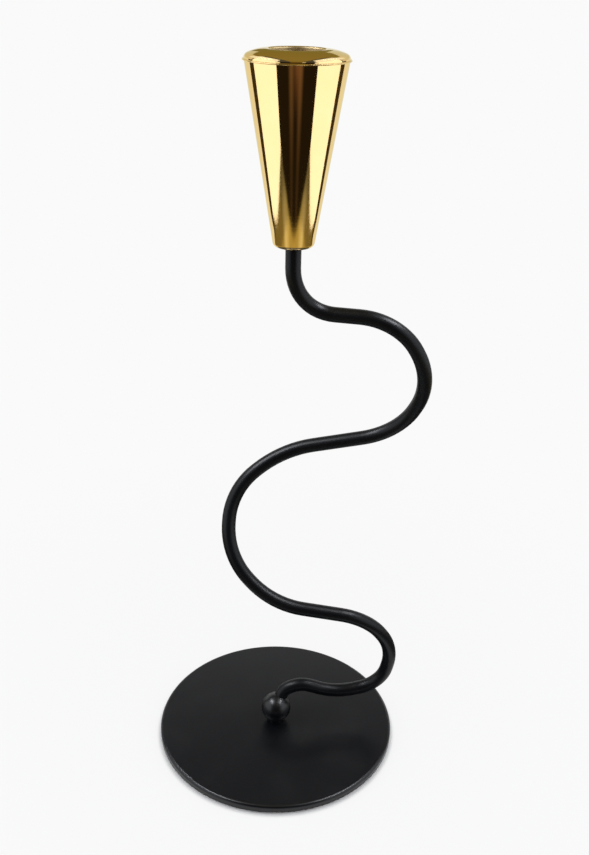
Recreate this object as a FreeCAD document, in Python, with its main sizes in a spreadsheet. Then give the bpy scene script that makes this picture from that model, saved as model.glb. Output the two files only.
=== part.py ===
import FreeCAD, Part
import math
import os
import Sketcher
from enum import IntEnum
from types import SimpleNamespace

# Spiral candle holder: a brass cone for one candle on a bent steel rod. The rod stands in a
# ball on a round steel base. Lengths are millimetres, +Z is up, and the origin is the middle
# of the face that the holder rests on.

Vector = FreeCAD.Vector

# Driving dimensions

DIMENSIONS = {
    # felt pad under the base
    "pad_radius": 59.5,
    "pad_thickness": 1.0,
    # round steel base
    "plate_radius": 62.5,
    "plate_thickness": 4.0,
    "plate_top_round": 1.5,
    "plate_foot_round": 0.5,
    "plate_hole_gap": 0.3,
    # countersunk screw, from under the base into the ball
    "base_screw_radius": 2.5,
    "base_screw_head_radius": 4.6,
    "base_screw_head_land": 0.4,
    "base_screw_length": 9.0,
    "base_screw_flats": 3.0,
    "base_screw_socket_depth": 1.8,
    "base_screw_sink": 0.3,
    # ball that the rod stands in
    "ball_radius": 7.9,
    "ball_neck_radius": 4.0,
    "ball_neck_height": 1.2,
    "rod_end_from_ball_centre": 4.5,
    # bent rod
    "rod_radius": 3.5,
    "rod_fit_gap": 0.05,
    "rod_reach": 70.0,
    "rod_depth": 25.0,
    "rod_height": 255.5,
    # cone-shaped cup
    "cup_aside": 4.7,
    "cup_height": 75.1,
    "cup_foot_radius": 8.85,
    "cup_rim_radius": 21.25,
    "cup_wall": 1.0,
    "cup_floor": 1.6,
    "cup_foot_round": 2.0,
    "cup_inner_round": 0.8,
    "cup_hole_gap": 0.25,
    # washer and screw inside the cup
    "washer_radius": 4.5,
    "washer_thickness": 0.8,
    "washer_hole_gap": 0.15,
    "cup_screw_radius": 2.0,
    "cup_screw_head_radius": 3.6,
    "cup_screw_head_height": 2.6,
    "cup_screw_length": 12.0,
    "cup_screw_flats": 2.5,
    "cup_screw_socket_depth": 1.5,
    # tapped holes
    "thread_gap": 0.05,
    "tapped_spare": 0.6,
    # cap with the candle socket
    "cap_overhang": 0.75,
    "cap_edge_round": 0.35,
    "cap_height": 4.5,
    "cap_shoulder_inset": 0.6,
    "cap_shoulder_round": 2.4,
    "cap_lip_round": 0.7,
    "cap_wall": 1.2,
    "candle_radius": 11.0,
    "socket_depth": 20.0,
    "socket_wall": 1.0,
    "socket_ledge": 2.5,
    "spigot_depth": 4.0,
    "spigot_wall": 1.5,
    "spigot_gap": 0.3,
}

# Each bend of the rod between its top and the ball: sideways as a share of rod_reach, to the
# back as a share of rod_depth, and up from the ball's centre as a share of rod_height.
ROD_BEND_SHARES = [
    (0.22, 0.20, 0.875),
    (0.75, -0.11, 0.874),
    (1.01, 0.14, 0.749),
    (0.83, 0.69, 0.620),
    (0.02, 0.99, 0.565),
    (-0.35, 0.68, 0.489),
    (-0.37, 0.20, 0.366),
    (-0.04, -0.20, 0.279),
    (0.66, -0.20, 0.246),
    (0.88, 0.08, 0.153),
    (0.81, 0.24, 0.047),
    (0.46, 0.19, 0.025),
    (0.19, 0.12, 0.054),
    (0.06, 0.11, 0.039),
]
ROD_FIRST_BEND_SHARE = 0.928
ROD_ARC_SHARE = 0.48
SCREW_TIP_SHARE = 0.3
CUT_OVERRUN_SHARE = 0.5

FULL_TURN = 360
HALF_TURN = 180
QUARTER_TURN = 90
HEXAGON_SIDE_SHARE = 1 / math.sqrt(3)
SAME_SHARE = 1e-6


class Axis(IntEnum):
    """The two axes of a sketch. Its origin is the start point of the sideways one."""
    SIDEWAYS = -1
    UPRIGHT = -2


class Point(IntEnum):
    """The points of a line, an arc or a circle in a sketch."""
    START = 1
    END = 2
    CENTRE = 3


doc = FreeCAD.newDocument("SpiralCandleHolder")


# The sheet of sizes

class Size:
    """A length: its value now, and the sheet expression that it follows."""

    def __init__(self, value, text):
        self.value = value
        self.text = text

    def joined(self, sign, other, value):
        return Size(value, f"({self.text} {sign} {other.text})")

    def __add__(self, other):
        other = as_size(other)
        return self.joined("+", other, self.value + other.value)

    def __sub__(self, other):
        other = as_size(other)
        return self.joined("-", other, self.value - other.value)

    def __mul__(self, other):
        other = as_size(other)
        return self.joined("*", other, self.value * other.value)

    def __truediv__(self, other):
        other = as_size(other)
        return self.joined("/", other, self.value / other.value)

    def __neg__(self):
        return Size(-self.value, f"(0 - {self.text})")

    def root(self):
        return Size(math.sqrt(self.value), f"sqrt({self.text})")


def as_size(thing):
    """A plain ratio or zero as a Size; a Size stays as it is."""
    if isinstance(thing, Size):
        return thing
    return Size(thing, repr(thing))


def make_sheet(dimensions):
    """Write the driving dimensions into a spreadsheet and return them by name."""
    sheet = doc.addObject("Spreadsheet::Sheet", "Sizes")
    for row, (name, value) in enumerate(dimensions.items(), start=1):
        sheet.set(f"A{row}", name)
        sheet.set(f"B{row}", str(value))
        sheet.setAlias(f"B{row}", name)
    doc.recompute()
    sizes = {name: Size(value, f"Sizes.{name}") for name, value in dimensions.items()}
    return SimpleNamespace(**sizes)


size = make_sheet(DIMENSIONS)
ZERO = as_size(0)


def bind(thing, **lengths):
    """Tie properties of an object to sizes; two underscores stand for a dot."""
    for name, length in lengths.items():
        thing.setExpression(name.replace("__", "."), length.text)


# Sketches

def new_sketch(body, name, role):
    """A sketch on one of the body's own origin planes."""
    sketch = body.newObject("Sketcher::SketchObject", name)
    plane = next(item for item in body.Origin.OriginFeatures if item.Role == role)
    sketch.AttachmentSupport = [(plane, "")]
    sketch.MapMode = "FlatFace"
    return sketch


def tie_datum(sketch, kind, where, length):
    """Add one dimension to a sketch and tie it to a size."""
    index = sketch.addConstraint(Sketcher.Constraint(kind, *where, length.value))
    sketch.setExpression(f"Constraints[{index}]", length.text)


def tie_start(sketch, piece, across, up):
    """Hold the start point of a line or an arc at its two distances from the origin."""
    distances = [("DistanceX", Axis.UPRIGHT, across), ("DistanceY", Axis.SIDEWAYS, up)]
    for kind, axis, length in distances:
        if length.value == 0:
            on_axis = Sketcher.Constraint("PointOnObject", piece, Point.START, axis)
            sketch.addConstraint(on_axis)
        else:
            tie_datum(sketch, kind, (Axis.SIDEWAYS, Point.START, piece, Point.START), length)


def arc_between(here, there, radius):
    """The arc from one point to the next, whose centre is on the left of the way along."""
    chord = there - here
    aside = Vector(-chord.y, chord.x, 0).normalize()
    centre = (here + there) / 2 + aside * math.sqrt(radius ** 2 - (chord.Length / 2) ** 2)
    angles = [math.atan2(point.y - centre.y, point.x - centre.x) for point in (here, there)]
    return Part.ArcOfCircle(Part.Circle(centre, Vector(0, 0, 1), radius), *angles)


def draw_outline(sketch, outline):
    """Draw a closed outline. A point is (across, up), and one that starts an arc to the next
    point is (across, up, radius)."""
    spots = [Vector(point[0].value, point[1].value, 0) for point in outline]
    for here, there, point in zip(spots, spots[1:] + spots[:1], outline):
        if len(point) == 2:
            sketch.addGeometry(Part.LineSegment(here, there))
        else:
            sketch.addGeometry(arc_between(here, there, point[2].value))
    for index, point in enumerate(outline):
        before = (index - 1) % len(outline)
        joint = Sketcher.Constraint("Coincident", before, Point.END, index, Point.START)
        sketch.addConstraint(joint)
        tie_start(sketch, index, point[0], point[1])
        if len(point) > 2:
            tie_datum(sketch, "Radius", (index,), point[2])


def draw_circle(sketch, radius):
    """Draw a circle round the sketch's origin."""
    index = sketch.addGeometry(Part.Circle(Vector(), Vector(0, 0, 1), radius.value))
    centre = (index, Point.CENTRE, Axis.SIDEWAYS, Point.START)
    sketch.addConstraint(Sketcher.Constraint("Coincident", *centre))
    tie_datum(sketch, "Radius", (index,), radius)


# Operations that several pieces share

def new_body(name):
    body = doc.addObject("PartDesign::Body", name)
    body.Label = name
    return body


def turn_outline(body, kind, name, outline):
    """Turn an outline once round the body's Z axis, to add or to cut."""
    sketch = new_sketch(body, f"{name}_outline", "XZ_Plane")
    draw_outline(sketch, outline)
    feature = body.newObject(f"PartDesign::{kind}", name)
    feature.Profile = sketch
    feature.ReferenceAxis = (sketch, ["V_Axis"])
    feature.Angle = FULL_TURN
    doc.recompute()
    return feature


def ring_edge(shape, radius, height):
    """Name of the edge that runs round the Z axis at a radius and a height."""
    for number, edge in enumerate(shape.Edges, start=1):
        curve = edge.Curve
        if not isinstance(curve, Part.Circle):
            continue
        slack = radius.value * SAME_SHARE
        if abs(curve.Radius - radius.value) < slack and abs(curve.Center.z - height.value) < slack:
            return f"Edge{number}"
    raise ValueError(f"no edge of radius {radius.value} at height {height.value}")


def round_ring(body, name, radius, height, rounding):
    """Round one circular edge of a body."""
    before = body.Tip
    fillet = body.newObject("PartDesign::Fillet", name)
    fillet.Base = (before, [ring_edge(before.Shape, radius, height)])
    bind(fillet, Radius=rounding)
    doc.recompute()


def must_shrink(body, before):
    """Stop if a cut took nothing away."""
    if body.Shape.Volume >= before:
        raise ValueError(f"a cut in {body.Label} removed nothing")


def cut_turned(body, name, outline):
    """Cut a turned space out of a body."""
    before = body.Shape.Volume
    turn_outline(body, "Groove", name, outline)
    must_shrink(body, before)


def squared(length):
    return length * length


def hexagon(flats):
    """Corners of a hexagon, by its distance across the flats."""
    half = flats / 2
    side = flats * HEXAGON_SIDE_SHARE
    return [
        (side, ZERO),
        (side / 2, half),
        (-side / 2, half),
        (-side, ZERO),
        (-side / 2, -half),
        (side / 2, -half),
    ]


def socket_screw(name, radius, head_radius, land, head_height, length, flats, socket_depth):
    """A screw with a hexagon socket. Its head's face is at local zero, and its shank goes up."""
    body = new_body(name)
    tip = radius * SCREW_TIP_SHARE
    turn_outline(body, "Revolution", f"{name}_turned", [
        (ZERO, ZERO),
        (head_radius, ZERO),
        (head_radius, land),
        (radius, head_height),
        (radius, length - tip),
        (radius - tip, length),
        (ZERO, length),
    ])
    before = body.Shape.Volume
    sketch = new_sketch(body, f"{name}_hexagon", "XY_Plane")
    draw_outline(sketch, hexagon(flats))
    pocket = body.newObject("PartDesign::Pocket", f"{name}_socket")
    pocket.Profile = sketch
    pocket.Reversed = True
    bind(pocket, Length=socket_depth)
    doc.recompute()
    must_shrink(body, before)
    return body


def cylinder(name, radius, height):
    thing = doc.addObject("Part::Cylinder", name)
    bind(thing, Radius=radius, Height=height)
    return thing


def cut(name, base, tool):
    """What is left of the base once the tool is taken away."""
    thing = doc.addObject("Part::Cut", name)
    thing.Base = base
    thing.Tool = tool
    thing.Label = name
    doc.recompute()
    return thing


# Heights that more than one piece shares

plate_foot = size.pad_thickness
plate_top = plate_foot + size.plate_thickness
neck_top = plate_top + size.ball_neck_height
sphere_above_neck = (squared(size.ball_radius) - squared(size.ball_neck_radius)).root()
ball_centre = neck_top + sphere_above_neck
cup_seat = ball_centre + size.rod_height
cup_rim = cup_seat + size.cup_height

base_screw_foot = plate_foot + size.base_screw_sink
base_screw_hole = size.base_screw_radius + size.thread_gap
base_screw_tip = base_screw_foot + size.base_screw_length

cup_screw_face = cup_seat + size.cup_floor + size.washer_thickness + size.cup_screw_head_height
cup_screw_tip = cup_screw_face - size.cup_screw_length
cup_screw_hole = size.cup_screw_radius + size.thread_gap


def cone_radius(height):
    """Outer radius of the cup at a height above its foot."""
    widening = (size.cup_rim_radius - size.cup_foot_radius) / size.cup_height
    return size.cup_foot_radius + widening * height


def cone_inner_radius(height):
    return cone_radius(height) - size.cup_wall


# Base pad, plate and screw

def make_base_pad():
    pad = cylinder("base_pad", size.pad_radius, size.pad_thickness)
    pad.Label = "base_pad"
    return pad


def make_base_plate():
    """A steel disc with rounded edges and a countersunk hole in the middle."""
    body = new_body("base_plate")
    sketch = new_sketch(body, "plate_disc", "XY_Plane")
    draw_circle(sketch, size.plate_radius)
    disc = body.newObject("PartDesign::Pad", "plate_pad")
    disc.Profile = sketch
    bind(disc, Length=size.plate_thickness)
    doc.recompute()
    round_ring(body, "plate_top_edge", size.plate_radius, size.plate_thickness, size.plate_top_round)
    round_ring(body, "plate_foot_edge", size.plate_radius, ZERO, size.plate_foot_round)
    hole = size.base_screw_radius + size.plate_hole_gap
    land = size.base_screw_sink + size.base_screw_head_land
    overrun = size.plate_thickness * CUT_OVERRUN_SHARE
    cut_turned(body, "plate_screw_hole", [
        (ZERO, -overrun),
        (size.base_screw_head_radius, -overrun),
        (size.base_screw_head_radius, land),
        (hole, land + size.base_screw_head_radius - hole),
        (hole, size.plate_thickness + overrun),
        (ZERO, size.plate_thickness + overrun),
    ])
    bind(body, Placement__Base__z=plate_foot)
    return body


def make_base_screw():
    cone = size.base_screw_head_radius - size.base_screw_radius
    body = socket_screw(
        "base_screw",
        size.base_screw_radius,
        size.base_screw_head_radius,
        size.base_screw_head_land,
        size.base_screw_head_land + cone,
        size.base_screw_length,
        size.base_screw_flats,
        size.base_screw_socket_depth,
    )
    bind(body, Placement__Base__z=base_screw_foot)
    return body


# Bent rod

def rod_corners():
    """Where the straight lines through the rod's runs meet, from its top down to its end."""
    aside = size.cup_aside.value
    low = ball_centre.value
    height = size.rod_height.value
    corners = [
        Vector(aside, 0, low + height),
        Vector(aside, 0, low + height * ROD_FIRST_BEND_SHARE),
    ]
    for reach_share, depth_share, height_share in ROD_BEND_SHARES:
        corners.append(Vector(
            reach_share * size.rod_reach.value,
            depth_share * size.rod_depth.value,
            low + height_share * height,
        ))
    centre = Vector(0, 0, low)
    into_ball = (corners[-1] - centre).normalize()
    corners.append(centre + into_ball * size.rod_end_from_ball_centre.value)
    return corners


def bend(before, corner, after):
    """The arc that rounds a corner, as its start, middle, end and radius."""
    back = before - corner
    ahead = after - corner
    cut_back = ROD_ARC_SHARE * min(back.Length, ahead.Length)
    back.normalize()
    ahead.normalize()
    half_turn = (math.pi - back.getAngle(ahead)) / 2
    radius = cut_back / math.tan(half_turn)
    inward = (back + ahead).normalize()
    middle = corner + inward * (radius / math.cos(half_turn) - radius)
    return corner + back * cut_back, middle, corner + ahead * cut_back, radius


def make_rod_line():
    """The rod's centre line: straight runs joined by tangent arcs."""
    corners = rod_corners()
    edges = []
    radii = []
    here = corners[0]
    for before, corner, after in zip(corners, corners[1:], corners[2:]):
        start, middle, end, radius = bend(before, corner, after)
        edges.append(Part.LineSegment(here, start).toShape())
        edges.append(Part.Arc(start, middle, end).toShape())
        radii.append(radius)
        here = end
    edges.append(Part.LineSegment(here, corners[-1]).toShape())
    line = doc.addObject("Part::Feature", "rod_line")
    line.Shape = Part.Wire(edges)
    print("rod bend radii", [round(radius, 1) for radius in radii])
    return line


def make_stem():
    """A round rod swept down its centre line, with a tapped hole in its top end."""
    line = make_rod_line()
    section = doc.addObject("Part::Circle", "rod_section")
    bind(section, Radius=size.rod_radius)
    bind(section, Placement__Base__x=size.cup_aside, Placement__Base__z=cup_seat)
    sweep = doc.addObject("Part::Sweep", "rod_sweep")
    sweep.Sections = [section]
    edge_count = len(line.Shape.Edges)
    sweep.Spine = (line, [f"Edge{number}" for number in range(1, edge_count + 1)])
    sweep.Solid = True
    doc.recompute()
    area = math.pi * size.rod_radius.value ** 2
    print("rod volume over section times length", sweep.Shape.Volume / (area * line.Shape.Length))
    tapped = cylinder("rod_tapped_hole", cup_screw_hole, cup_seat - cup_screw_tip + size.tapped_spare * 2)
    bind(tapped, Placement__Base__x=size.cup_aside)
    bind(tapped, Placement__Base__z=cup_screw_tip - size.tapped_spare)
    return cut("stem", sweep, tapped)


# Ball at the foot of the rod

def make_ball_joint():
    """A turned ball on a short neck, bored for the rod's end and tapped for the base screw.

    The sphere lies on its side, so that its poles and its seam are clear of both holes."""
    sphere = doc.addObject("Part::Sphere", "ball_sphere")
    sphere.Placement = FreeCAD.Placement(Vector(), FreeCAD.Rotation(Vector(1, 0, 0), QUARTER_TURN))
    bind(sphere, Radius=size.ball_radius)
    bind(sphere, Placement__Base__z=ball_centre)
    neck = cylinder("ball_neck", size.ball_neck_radius, ball_centre - plate_top)
    bind(neck, Placement__Base__z=plate_top)
    ball = doc.addObject("Part::Fuse", "ball_turned")
    ball.Base = sphere
    ball.Tool = neck
    foot = cylinder("ball_foot_space", size.ball_radius, size.ball_radius)
    bind(foot, Placement__Base__z=plate_top - size.ball_radius)
    faced = cut("ball_faced", ball, foot)
    tapped = cylinder("ball_tapped_hole", base_screw_hole, base_screw_tip - plate_foot + size.tapped_spare)
    bind(tapped, Placement__Base__z=plate_foot)
    drilled = cut("ball_drilled", faced, tapped)
    rod_bore = cylinder("ball_rod_bore", size.rod_radius + size.rod_fit_gap, size.ball_radius * 2)
    last = rod_corners()[-1]
    inward = last - Vector(0, 0, ball_centre.value)
    rod_bore.Placement = FreeCAD.Placement(last, FreeCAD.Rotation(Vector(0, 0, 1), inward))
    return cut("ball_joint", drilled, rod_bore)


# Brass cup, its washer and its screw

def make_candle_cup():
    """A hollow cone with a flat, rounded foot and a hole for the screw."""
    body = new_body("candle_cup")
    hole = size.cup_screw_radius + size.cup_hole_gap
    floor_radius = cone_inner_radius(size.cup_floor)
    turn_outline(body, "Revolution", "cup_turned", [
        (hole, ZERO),
        (size.cup_foot_radius, ZERO),
        (size.cup_rim_radius, size.cup_height),
        (size.cup_rim_radius - size.cup_wall, size.cup_height),
        (floor_radius, size.cup_floor),
        (hole, size.cup_floor),
    ])
    round_ring(body, "cup_foot_edge", size.cup_foot_radius, ZERO, size.cup_foot_round)
    round_ring(body, "cup_inner_edge", floor_radius, size.cup_floor, size.cup_inner_round)
    bind(body, Placement__Base__x=size.cup_aside, Placement__Base__z=cup_seat)
    return body


def make_cup_washer():
    body = new_body("cup_washer")
    sketch = new_sketch(body, "washer_ring", "XY_Plane")
    draw_circle(sketch, size.washer_radius)
    draw_circle(sketch, size.cup_screw_radius + size.washer_hole_gap)
    ring = body.newObject("PartDesign::Pad", "washer_pad")
    ring.Profile = sketch
    bind(ring, Length=size.washer_thickness)
    bind(body, Placement__Base__x=size.cup_aside, Placement__Base__z=cup_seat + size.cup_floor)
    return body


def make_cup_screw():
    """The screw hangs head up, so its body is turned over about the X axis."""
    body = socket_screw(
        "cup_screw",
        size.cup_screw_radius,
        size.cup_screw_head_radius,
        size.cup_screw_head_height,
        size.cup_screw_head_height,
        size.cup_screw_length,
        size.cup_screw_flats,
        size.cup_screw_socket_depth,
    )
    body.Placement = FreeCAD.Placement(Vector(), FreeCAD.Rotation(Vector(1, 0, 0), HALF_TURN))
    bind(body, Placement__Base__x=size.cup_aside, Placement__Base__z=cup_screw_face)
    return body


# Cap with the candle socket

def cap_outline():
    """Half of the cap's section, from the flange's foot round the top and down the socket.

    The crown is one arc that starts level at the lip and runs smoothly into the shoulder's arc,
    which ends upright on the flange. Half the crown's turn has the tangent rise over run."""
    edge = size.cap_edge_round
    flange_radius = size.cup_rim_radius + size.cap_overhang
    flange_top = edge * 2
    shoulder = size.cap_shoulder_round
    shoulder_foot = flange_radius - size.cap_shoulder_inset
    lip_foot = size.candle_radius + size.cap_lip_round
    run = shoulder_foot - shoulder - lip_foot
    rise = size.cap_height - shoulder - flange_top
    slope = rise / run
    turn_sine = slope * 2 / (squared(slope) + 1)
    turn_cosine = (-squared(slope) + 1) / (squared(slope) + 1)
    crown = run / turn_sine + shoulder
    crown_end = lip_foot + crown * turn_sine
    crown_end_height = size.cap_height - crown + crown * turn_cosine

    socket_foot = size.cap_height - size.cap_lip_round - size.socket_depth
    ledge_radius = size.candle_radius - size.socket_ledge
    socket_outer = size.candle_radius + size.socket_wall
    spigot_top = cone_inner_radius(size.cup_height) - size.spigot_gap
    spigot_foot = cone_inner_radius(size.cup_height - size.spigot_depth) - size.spigot_gap
    spigot_inner = spigot_foot - size.spigot_wall
    return [
        (spigot_top, ZERO),
        (flange_radius - edge, ZERO, edge),
        (flange_radius, edge, edge),
        (flange_radius - edge, flange_top),
        (shoulder_foot, flange_top, shoulder),
        (crown_end, crown_end_height, crown),
        (lip_foot, size.cap_height, size.cap_lip_round),
        (size.candle_radius, size.cap_height - size.cap_lip_round),
        (size.candle_radius, socket_foot),
        (ledge_radius, socket_foot),
        (ledge_radius, socket_foot - size.socket_wall),
        (socket_outer, socket_foot - size.socket_wall),
        (socket_outer, size.cap_height - size.cap_wall),
        (spigot_inner, flange_top + size.cap_wall),
        (spigot_inner, -size.spigot_depth),
        (spigot_foot, -size.spigot_depth),
    ]


def make_cup_cap():
    body = new_body("cup_cap")
    turn_outline(body, "Revolution", "cap_turned", cap_outline())
    bind(body, Placement__Base__x=size.cup_aside, Placement__Base__z=cup_rim)
    return body


# Build, check and write

def check_document():
    """Stop if any object of the document failed to build."""
    failed = [thing.Name for thing in doc.Objects if {"Invalid", "Error"} & set(thing.State)]
    if failed:
        raise RuntimeError(f"these objects failed: {failed}")


def check_piece(piece):
    """Stop if a piece is not one sound solid."""
    shape = piece.Shape
    if shape.isNull() or not shape.isValid() or len(shape.Solids) != 1:
        raise RuntimeError(f"{piece.Label} is not one sound solid")
    box = shape.BoundBox
    print(f"{piece.Label:12s} volume {shape.Volume:10.1f}  height {box.ZMin:7.2f} to {box.ZMax:7.2f}")


pieces = [
    make_base_pad(),
    make_base_plate(),
    make_base_screw(),
    make_ball_joint(),
    make_stem(),
    make_candle_cup(),
    make_cup_washer(),
    make_cup_screw(),
    make_cup_cap(),
]
doc.recompute()
check_document()
for piece in pieces:
    check_piece(piece)

os.makedirs("parts", exist_ok=True)
for piece in pieces:
    piece.Shape.exportStep(f"parts/{piece.Label}.step")
print("pieces written:", len(pieces))
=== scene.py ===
# %% [markdown]
# # Spiral candle holder
# A tall brass cone for one candle stands on a black rod that winds upwards from a round black
# base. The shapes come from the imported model, which is loaded as a fixed frame. This script
# gives each piece its finish, makes the felt under the base, and sets up the studio.

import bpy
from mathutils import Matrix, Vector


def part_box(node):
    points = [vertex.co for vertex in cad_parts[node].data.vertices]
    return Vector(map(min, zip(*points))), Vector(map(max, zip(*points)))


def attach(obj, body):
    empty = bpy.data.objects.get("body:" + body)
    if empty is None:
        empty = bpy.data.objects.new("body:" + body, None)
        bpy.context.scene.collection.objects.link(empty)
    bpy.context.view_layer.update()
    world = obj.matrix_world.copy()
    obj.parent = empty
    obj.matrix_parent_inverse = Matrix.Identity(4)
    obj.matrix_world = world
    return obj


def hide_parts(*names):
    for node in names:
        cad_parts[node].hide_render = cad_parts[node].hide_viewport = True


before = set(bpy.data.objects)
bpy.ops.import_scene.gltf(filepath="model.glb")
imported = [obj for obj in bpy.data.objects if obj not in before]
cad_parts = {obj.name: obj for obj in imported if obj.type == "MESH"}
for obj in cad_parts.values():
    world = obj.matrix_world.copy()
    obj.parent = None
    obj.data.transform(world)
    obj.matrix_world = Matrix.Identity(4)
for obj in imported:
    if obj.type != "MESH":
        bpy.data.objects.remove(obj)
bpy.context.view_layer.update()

# %% [markdown]
# ## Lengths
# Everything is in metres, with the names that the frame gives. Fine finishes are easier to
# read in millimetres, so one helper turns them into metres.

# %% Imports and lengths
import math

import bpy
from mathutils import Matrix, Vector


def mm(length):
    return length / 1000


print("pieces in the frame:", sorted(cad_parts))

# %% [markdown]
# ## Places that the frame gives
# The cup doesn't stand over the middle of the base. Its axis, the plate's radius and the pad's
# thickness could be typed in, but then they would be wrong after a change of size. They are
# read from the frame, so that each finish stays in register with the piece that carries it.

# %% Places
cup_low, cup_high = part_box("candle_cup")
plate_low, plate_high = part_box("base_plate")
pad_low, pad_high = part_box("base_pad")
cup_axis = (cup_low.x + cup_high.x) / 2
plate_radius = (plate_high.x - plate_low.x) / 2
pad_radius = (pad_high.x - pad_low.x) / 2
pad_thickness = pad_high.z - pad_low.z
print("cup axis at x =", round(cup_axis, 5), "plate radius", round(plate_radius, 5))

# %% [markdown]
# ## How a node group is made
# A finish such as dust or fine grain turns up on several materials. It is built once as a
# shader node group with named inputs and outputs, and each material sets its own amounts. The
# alternative, copying the same nodes into each material, is harder to change later.

# %% Helpers: groups, nodes and links
COLOUR = "NodeSocketColor"
NUMBER = "NodeSocketFloat"


def new_group(name, inputs, outputs):
    """An empty shader node group, with its input and output nodes."""
    group = bpy.data.node_groups.new(name, "ShaderNodeTree")
    for label, kind, value in inputs:
        socket = group.interface.new_socket(name=label, in_out="INPUT", socket_type=kind)
        socket.default_value = value
    for label, kind in outputs:
        group.interface.new_socket(name=label, in_out="OUTPUT", socket_type=kind)
    return group, group.nodes.new("NodeGroupInput"), group.nodes.new("NodeGroupOutput")


def add(tree, kind, **settings):
    """A node with its properties set."""
    node = tree.nodes.new(kind)
    for name, value in settings.items():
        setattr(node, name, value)
    return node


def feed(tree, source, socket):
    """Feed a socket from another socket, or set it to a plain value."""
    if isinstance(source, bpy.types.NodeSocket):
        tree.links.new(source, socket)
    else:
        socket.default_value = source


print("a group can have sockets of the kinds", COLOUR, "and", NUMBER)

# %% [markdown]
# ## Sums between nodes
# A finish often needs a small sum, or a value that rises between two places, such as the dust
# that gathers as a face turns upwards. Each is one node, and these helpers make it and plug in
# its inputs. The rise is a soft one: a hard step would make a finish look cut out.

# %% Helpers: sums and soft rises
def compute(tree, operation, *values):
    """One math node."""
    node = add(tree, "ShaderNodeMath", operation=operation)
    for value, socket in zip(values, node.inputs):
        feed(tree, value, socket)
    return node.outputs[0]


def ramp(tree, value, low, high, bottom=0.0, top=1.0):
    """A value carried smoothly from one range to another."""
    node = add(tree, "ShaderNodeMapRange", interpolation_type="SMOOTHSTEP")
    for source, socket in zip((value, low, high, bottom, top), node.inputs):
        feed(tree, source, socket)
    return node.outputs["Result"]


print("sums and soft rises are ready")

# %% [markdown]
# ## Noise and mixed colours
# Smudges, grains and drifting tones all start as soft noise over the piece. It could be painted
# on an image, but noise that is worked out from the piece's own coordinates has no seams and
# stays sharp when the camera comes close.

# %% Helpers: noise and mixed colours
def noise(tree, place, scale, detail=2.0):
    """Soft noise over a place, with a size in waves per metre."""
    node = add(tree, "ShaderNodeTexNoise")
    feed(tree, place, node.inputs["Vector"])
    feed(tree, scale, node.inputs["Scale"])
    node.inputs["Detail"].default_value = detail
    return node.outputs["Fac"]


def mix_colour(tree, share, first, second):
    """Two colours mixed by a share."""
    node = add(tree, "ShaderNodeMix", data_type="RGBA")
    feed(tree, share, node.inputs["Factor"])
    feed(tree, first, node.inputs["A"])
    feed(tree, second, node.inputs["B"])
    return node.outputs["Result"]


print("noise and mixed colours are ready")

# %% [markdown]
# ## How a group is used
# A material places a group as one node and gives it its own amounts. One helper does both, so
# that a material reads like a list of its finishes.

# %% Helper: a group inside a material
def place_group(tree, group, **values):
    """Put a group into a material; an underscore in a value's name stands for a space."""
    node = add(tree, "ShaderNodeGroup", node_tree=group)
    for name, value in values.items():
        feed(tree, value, node.inputs[name.replace("_", " ").capitalize()])
    return node


print("groups can be placed in materials")

# %% [markdown]
# ## Handling marks
# Polished brass and satin paint both show where fingers and a cloth have been: wide soft
# patches that are a little duller, with fine streaks inside them. They could be painted one by
# one, but noise puts them on every side at once. Only the roughness follows them, because a
# smudge barely changes the colour.

# %% Group: handling marks
PATCH_EDGES = (0.45, 0.75)
STREAK_EDGES = (0.3, 0.7)
STREAK_LEAST = 0.4
STREAKS_PER_PATCH = 14.0


def make_handling_marks():
    group, inputs, outputs = new_group(
        "handling_marks",
        [("Smooth", NUMBER, 0.1), ("Dull", NUMBER, 0.2), ("Patch scale", NUMBER, 60.0)],
        [("Roughness", NUMBER), ("Mask", NUMBER)],
    )
    place = add(group, "ShaderNodeTexCoord").outputs["Object"]
    patches = ramp(group, noise(group, place, inputs.outputs["Patch scale"]), *PATCH_EDGES)
    fine_scale = compute(group, "MULTIPLY", inputs.outputs["Patch scale"], STREAKS_PER_PATCH)
    fine = noise(group, place, fine_scale, detail=4.0)
    mask = compute(group, "MULTIPLY", patches, ramp(group, fine, *STREAK_EDGES, STREAK_LEAST, 1.0))
    spread = compute(group, "SUBTRACT", inputs.outputs["Dull"], inputs.outputs["Smooth"])
    rough = compute(group, "MULTIPLY_ADD", mask, spread, inputs.outputs["Smooth"])
    feed(group, rough, outputs.inputs["Roughness"])
    feed(group, mask, outputs.inputs["Mask"])
    return group


handling_marks = make_handling_marks()
print("group:", handling_marks.name)

# %% [markdown]
# ## Distance from an axis
# Several finishes need to know how far a point is from the axis that its piece was turned on: a
# lathe leaves rings round that axis, and a bored or inner wall is rougher than the polished
# outside. The distance is worked out once here, from the object's own coordinates.

# %% Group: turned place
def make_turned_place():
    group, inputs, outputs = new_group(
        "turned_place", [("Axis x", NUMBER, 0.0)], [("Radius", NUMBER), ("Height", NUMBER)])
    parts = add(group, "ShaderNodeSeparateXYZ")
    feed(group, add(group, "ShaderNodeTexCoord").outputs["Object"], parts.inputs[0])
    aside = compute(group, "SUBTRACT", parts.outputs["X"], inputs.outputs["Axis x"])
    back_squared = compute(group, "MULTIPLY", parts.outputs["Y"], parts.outputs["Y"])
    out_squared = compute(group, "MULTIPLY_ADD", aside, aside, back_squared)
    feed(group, compute(group, "SQRT", out_squared), outputs.inputs["Radius"])
    feed(group, parts.outputs["Z"], outputs.inputs["Height"])
    return group


turned_place = make_turned_place()
print("group:", turned_place.name)

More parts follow.
